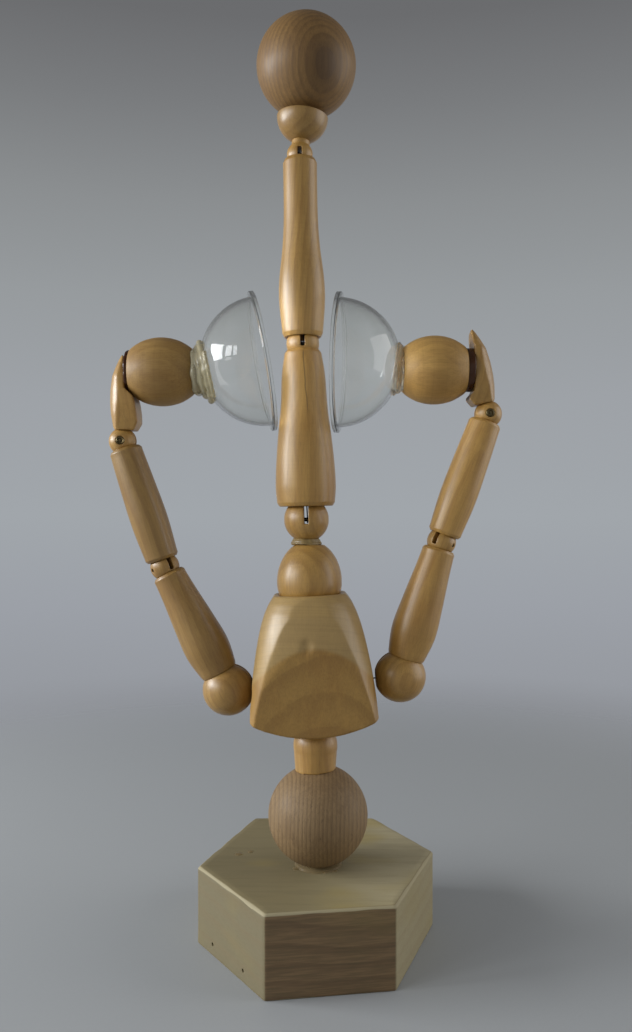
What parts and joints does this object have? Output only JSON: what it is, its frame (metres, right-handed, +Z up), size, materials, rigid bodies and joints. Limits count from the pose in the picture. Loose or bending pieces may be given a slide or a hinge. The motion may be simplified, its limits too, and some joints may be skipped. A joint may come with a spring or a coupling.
{
  "type": "balance figurine",
  "caption": "Jointed wooden lay figure standing on its head on a ball and a hexagonal block, holding clear half shells, with a second ball on its foot.",
  "frame": {"origin": "on the underside of the six-sided block, below its middle", "axes": "+Z up along the column, the figure faces -Y, +X to the viewer's right"},
  "size_m": [0.1383, 0.0855, 0.3256],
  "materials": {
    "block_wood": "bare pale pine with green and brown grain, worn edges",
    "ball_wood": "bare pinkish craft ball",
    "figure_wood": "honey wood under satin varnish",
    "clear_glue": "dried clear glue",
    "dark_glue": "dark glossy glue",
    "steel": "plain steel wire and pins",
    "clear_shell": "thin clear acrylic"
  },
  "bodies": {
    "base": {"hex_base": "block_wood", "base_glue": "clear_glue", "lower_ball": "ball_wood", "neck": "figure_wood", "neck_pin": "steel"},
    "neck_swivel": {"neck_spring": "steel"},
    "chest": {"chest_block": "figure_wood", "shoulder_spring": "steel"},
    "waist_swivel": {"waist_spring": "steel"},
    "waist": {"waist_ball": "figure_wood", "waist_pin": "steel", "hip_glue": "clear_glue", "hip_ball": "figure_wood", "hip_pin": "steel"},
    "thigh": {"thigh": "figure_wood", "thigh_spring": "steel"},
    "knee": {"knee_ball": "figure_wood", "knee_pin": "steel"},
    "calf": {"calf": "figure_wood"},
    "ankle_swivel": {"calf_spring": "steel"},
    "top": {"ankle_ball": "figure_wood", "ankle_pin": "steel", "cap": "figure_wood", "cap_glue": "clear_glue", "top_ball": "ball_wood"},
    "left_shoulder": {"left_shoulder_ball": "figure_wood", "left_shoulder_pin": "steel"},
    "left_upper_arm": {"left_upper_arm": "figure_wood", "left_upper_arm_spring": "steel"},
    "left_elbow": {"left_elbow_ball": "figure_wood", "left_elbow_pin": "steel"},
    "left_forearm": {"left_forearm": "figure_wood", "left_forearm_spring": "steel"},
    "left_wrist": {"left_wrist_ball": "figure_wood", "left_wrist_pin": "steel"},
    "left_hand": {"left_hand": "figure_wood", "left_hand_wire": "steel", "left_glue_pad": "dark_glue", "left_barrel": "figure_wood", "left_dome_glue": "clear_glue", "left_dome": "clear_shell"},
    "right_shoulder": {"right_shoulder_ball": "figure_wood", "right_shoulder_pin": "steel"},
    "right_upper_arm": {"right_upper_arm": "figure_wood", "right_upper_arm_spring": "steel"},
    "right_elbow": {"right_elbow_ball": "figure_wood", "right_elbow_pin": "steel"},
    "right_forearm": {"right_forearm": "figure_wood", "right_forearm_spring": "steel"},
    "right_wrist": {"right_wrist_ball": "figure_wood", "right_wrist_pin": "steel"},
    "right_hand": {"right_hand": "figure_wood", "right_hand_wire": "steel", "right_glue_pad": "dark_glue", "right_barrel": "figure_wood", "right_dome_glue": "clear_glue", "right_dome": "clear_shell"}
  },
  "joints": [
    {"name": "neck_tilt", "type": "hinge", "parent": "base", "child": "neck_swivel", "pos_m": [-0.0031, -0.005, 0.069], "axis": [0.9993, 0, 0.0366], "range_deg": [-15, 15]},
    {"name": "neck_turn", "type": "hinge", "parent": "neck_swivel", "child": "chest", "pos_m": [-0.0031, -0.005, 0.069], "axis": [-0.0366, 0, 0.9993], "range_deg": [-90, 90], "deforming": ["neck_spring"]},
    {"name": "waist_turn", "type": "hinge", "parent": "chest", "child": "waist_swivel", "pos_m": [-0.0052, -0.005, 0.12636], "axis": [-0.0366, 0, 0.9993], "range_deg": [-60, 60], "deforming": ["waist_spring"]},
    {"name": "waist_tilt", "type": "hinge", "parent": "waist_swivel", "child": "waist", "pos_m": [-0.0052, -0.005, 0.12636], "axis": [0.9993, 0, 0.0366], "range_deg": [-12, 12]},
    {"name": "hip_bend", "type": "hinge", "parent": "waist", "child": "thigh", "pos_m": [-0.00625, -0.005, 0.14846], "axis": [-0.9998, 0, -0.0209], "range_deg": [-45, 60]},
    {"name": "knee_turn", "type": "hinge", "parent": "thigh", "child": "knee", "pos_m": [-0.00755, -0.005, 0.21035], "axis": [-0.0209, 0, 0.9998], "range_deg": [-90, 90], "deforming": ["thigh_spring"]},
    {"name": "knee_bend", "type": "hinge", "parent": "knee", "child": "calf", "pos_m": [-0.00755, -0.005, 0.21035], "axis": [0.9999, 0, 0.0157], "range_deg": [-38, 38]},
    {"name": "ankle_turn", "type": "hinge", "parent": "calf", "child": "ankle_swivel", "pos_m": [-0.00859, -0.005, 0.27684], "axis": [-0.0157, 0, 0.9999], "range_deg": [-90, 90], "deforming": ["calf_spring"]},
    {"name": "ankle_bend", "type": "hinge", "parent": "ankle_swivel", "child": "top", "pos_m": [-0.00859, -0.005, 0.27684], "axis": [-0.9999, 0, -0.0157], "range_deg": [-60, 60]},
    {"name": "left_shoulder_swing", "type": "hinge", "parent": "chest", "child": "left_shoulder", "pos_m": [-0.03367, -0.005, 0.08866], "axis": [0.9971, 0, 0.0767], "range_deg": [0, 90], "deforming": ["shoulder_spring"]},
    {"name": "left_shoulder_lift", "type": "hinge", "parent": "left_shoulder", "child": "left_upper_arm", "pos_m": [-0.03367, -0.005, 0.08866], "axis": [0, 1, 0], "range_deg": [-70, 0]},
    {"name": "left_elbow_turn", "type": "hinge", "parent": "left_upper_arm", "child": "left_elbow", "pos_m": [-0.05615, -0.005, 0.13186], "axis": [0.4617, 0, -0.887], "range_deg": [0, 90], "deforming": ["left_upper_arm_spring"]},
    {"name": "left_elbow_bend", "type": "hinge", "parent": "left_elbow", "child": "left_forearm", "pos_m": [-0.05615, -0.005, 0.13186], "axis": [-0.7569, -0.6018, -0.2547], "range_deg": [0, 50]},
    {"name": "left_wrist_turn", "type": "hinge", "parent": "left_forearm", "child": "left_wrist", "pos_m": [-0.07102, -0.005, 0.17603], "axis": [0.319, 0, -0.9478], "range_deg": [0, 90], "deforming": ["left_forearm_spring"]},
    {"name": "left_wrist_bend", "type": "hinge", "parent": "left_wrist", "child": "left_hand", "pos_m": [-0.07102, -0.005, 0.17603], "axis": [0, -1, 0], "range_deg": [0, 60]},
    {"name": "right_shoulder_swing", "type": "hinge", "parent": "chest", "child": "right_shoulder", "pos_m": [0.02666, -0.005, 0.09331], "axis": [0.9971, 0, 0.0767], "range_deg": [0, 90]},
    {"name": "right_shoulder_lift", "type": "hinge", "parent": "right_shoulder", "child": "right_upper_arm", "pos_m": [0.02666, -0.005, 0.09331], "axis": [0, -1, 0], "range_deg": [-70, 0]},
    {"name": "right_elbow_turn", "type": "hinge", "parent": "right_upper_arm", "child": "right_elbow", "pos_m": [0.04132, -0.005, 0.14069], "axis": [0.2957, 0, 0.9553], "range_deg": [0, 90], "deforming": ["right_upper_arm_spring"]},
    {"name": "right_elbow_bend", "type": "hinge", "parent": "right_elbow", "child": "right_forearm", "pos_m": [0.04132, -0.005, 0.14069], "axis": [-0.75, 0.6018, 0.2745], "range_deg": [0, 50]},
    {"name": "right_wrist_turn", "type": "hinge", "parent": "right_forearm", "child": "right_wrist", "pos_m": [0.05775, -0.005, 0.18558], "axis": [0.3437, 0, 0.9391], "range_deg": [0, 90], "deforming": ["right_forearm_spring"]},
    {"name": "right_wrist_bend", "type": "hinge", "parent": "right_wrist", "child": "right_hand", "pos_m": [0.05775, -0.005, 0.18558], "axis": [0, 1, 0], "range_deg": [0, 60]}
  ]
}
